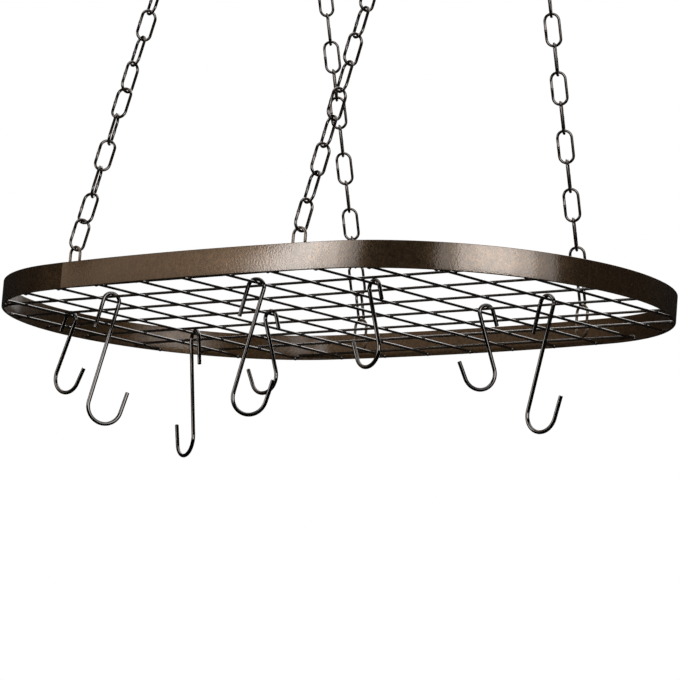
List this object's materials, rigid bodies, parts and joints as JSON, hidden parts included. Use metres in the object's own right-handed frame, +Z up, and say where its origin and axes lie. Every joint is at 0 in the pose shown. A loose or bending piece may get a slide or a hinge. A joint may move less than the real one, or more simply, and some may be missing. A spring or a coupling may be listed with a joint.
{
  "type": "hanging pot rack",
  "caption": "Oval hanging pot rack: a flat bar band with a welded wire grid, hung on link chains from screw-in ceiling hooks, with loose wire hooks for pots.",
  "frame": {"origin": "on the ceiling, in the plane of the four collars' upper faces, above the middle of the rack", "axes": "+Z up into the ceiling, +X along the oval's length, +Y across it, away from the picture's near side"},
  "size_m": [0.838, 0.49, 0.6231],
  "materials": {
    "band_paint": "hammered dark bronze paint, satin",
    "grid_paint": "dark bronze paint, semi-gloss",
    "chain_paint": "dark bronze paint, semi-gloss",
    "ceiling_hook_paint": "dark bronze paint, semi-gloss",
    "hook_paint": "dark bronze paint, semi-gloss"
  },
  "bodies": {
    "ceiling_hooks": {"ceiling_hook_near_left": "ceiling_hook_paint", "ceiling_hook_near_right": "ceiling_hook_paint", "ceiling_hook_far_left": "ceiling_hook_paint", "ceiling_hook_far_right": "ceiling_hook_paint"},
    "left_chains": {"near_left_link_01": "chain_paint", "near_left_link_02": "chain_paint", "near_left_link_03": "chain_paint", "near_left_link_04": "chain_paint", "near_left_link_05": "chain_paint", "near_left_link_06": "chain_paint", "near_left_link_07": "chain_paint", "near_left_link_08": "chain_paint", "near_left_link_09": "chain_paint", "near_left_link_10": "chain_paint", "far_left_link_01": "chain_paint", "far_left_link_02": "chain_paint", "far_left_link_03": "chain_paint", "far_left_link_04": "chain_paint", "far_left_link_05": "chain_paint", "far_left_link_06": "chain_paint", "far_left_link_07": "chain_paint", "far_left_link_08": "chain_paint", "far_left_link_09": "chain_paint", "far_left_link_10": "chain_paint", "near_left_top_links": "chain_paint", "far_left_top_links": "chain_paint"},
    "right_chains": {"near_right_link_01": "chain_paint", "near_right_link_02": "chain_paint", "near_right_link_03": "chain_paint", "near_right_link_04": "chain_paint", "near_right_link_05": "chain_paint", "near_right_link_06": "chain_paint", "near_right_link_07": "chain_paint", "near_right_link_08": "chain_paint", "near_right_link_09": "chain_paint", "near_right_link_10": "chain_paint", "far_right_link_01": "chain_paint", "far_right_link_02": "chain_paint", "far_right_link_03": "chain_paint", "far_right_link_04": "chain_paint", "far_right_link_05": "chain_paint", "far_right_link_06": "chain_paint", "far_right_link_07": "chain_paint", "far_right_link_08": "chain_paint", "far_right_link_09": "chain_paint", "far_right_link_10": "chain_paint", "near_right_top_links": "chain_paint", "far_right_top_links": "chain_paint"},
    "rack": {"oval_band": "band_paint", "wire_grid": "grid_paint"},
    "small_hook_1": {"small_hook_1": "hook_paint"},
    "small_hook_2": {"small_hook_2": "hook_paint"},
    "small_hook_3": {"small_hook_3": "hook_paint"},
    "small_hook_4": {"small_hook_4": "hook_paint"},
    "large_hook_1": {"large_hook_1": "hook_paint"},
    "large_hook_2": {"large_hook_2": "hook_paint"},
    "large_hook_3": {"large_hook_3": "hook_paint"},
    "large_hook_4": {"large_hook_4": "hook_paint"}
  },
  "joints": [
    {"name": "left_chain_swing", "type": "hinge", "parent": "ceiling_hooks", "child": "left_chains", "pos_m": [-0.166, 0, -0.03073], "axis": [0, 1, 0], "range_deg": [-15, 15]},
    {"name": "right_chain_swing", "type": "hinge", "parent": "ceiling_hooks", "child": "right_chains", "pos_m": [0.166, 0, -0.03073], "axis": [0, 1, 0], "range_deg": [-15, 15]},
    {"name": "rack_level", "type": "hinge", "parent": "left_chains", "child": "rack", "pos_m": [-0.166, 0, -0.40745], "axis": [0, 1, 0], "range_deg": [-15, 15]},
    {"name": "small_hook_1_swing", "type": "hinge", "parent": "rack", "child": "small_hook_1", "pos_m": [-0.3175, -0.0889, -0.44778], "axis": [0, 1, 0], "range_deg": [-40, 40]},
    {"name": "small_hook_2_swing", "type": "hinge", "parent": "rack", "child": "small_hook_2", "pos_m": [-0.0635, -0.02667, -0.44778], "axis": [0, 1, 0], "range_deg": [-40, 40]},
    {"name": "small_hook_3_swing", "type": "hinge", "parent": "rack", "child": "small_hook_3", "pos_m": [0.1905, -0.14033, -0.44778], "axis": [0, 1, 0], "range_deg": [-40, 40]},
    {"name": "small_hook_4_swing", "type": "hinge", "parent": "rack", "child": "small_hook_4", "pos_m": [0.19939, 0.03175, -0.44509], "axis": [1, 0, 0], "range_deg": [-40, 40]},
    {"name": "large_hook_1_swing", "type": "hinge", "parent": "rack", "child": "large_hook_1", "pos_m": [-0.18161, -0.15875, -0.44509], "axis": [1, 0, 0], "range_deg": [-40, 40]},
    {"name": "large_hook_2_swing", "type": "hinge", "parent": "rack", "child": "large_hook_2", "pos_m": [-0.254, 0.05017, -0.44778], "axis": [0, 1, 0], "range_deg": [-40, 40]},
    {"name": "large_hook_3_swing", "type": "hinge", "parent": "rack", "child": "large_hook_3", "pos_m": [0.0635, -0.18605, -0.44778], "axis": [0, 1, 0], "range_deg": [-40, 40]},
    {"name": "large_hook_4_swing", "type": "hinge", "parent": "rack", "child": "large_hook_4", "pos_m": [0.3175, -0.00953, -0.44778], "axis": [0, 1, 0], "range_deg": [-40, 40]}
  ],
  "couplings": [
    {"joint": "right_chain_swing", "follows": "left_chain_swing", "ratio": 1},
    {"joint": "rack_level", "follows": "left_chain_swing", "ratio": -1}
  ]
}
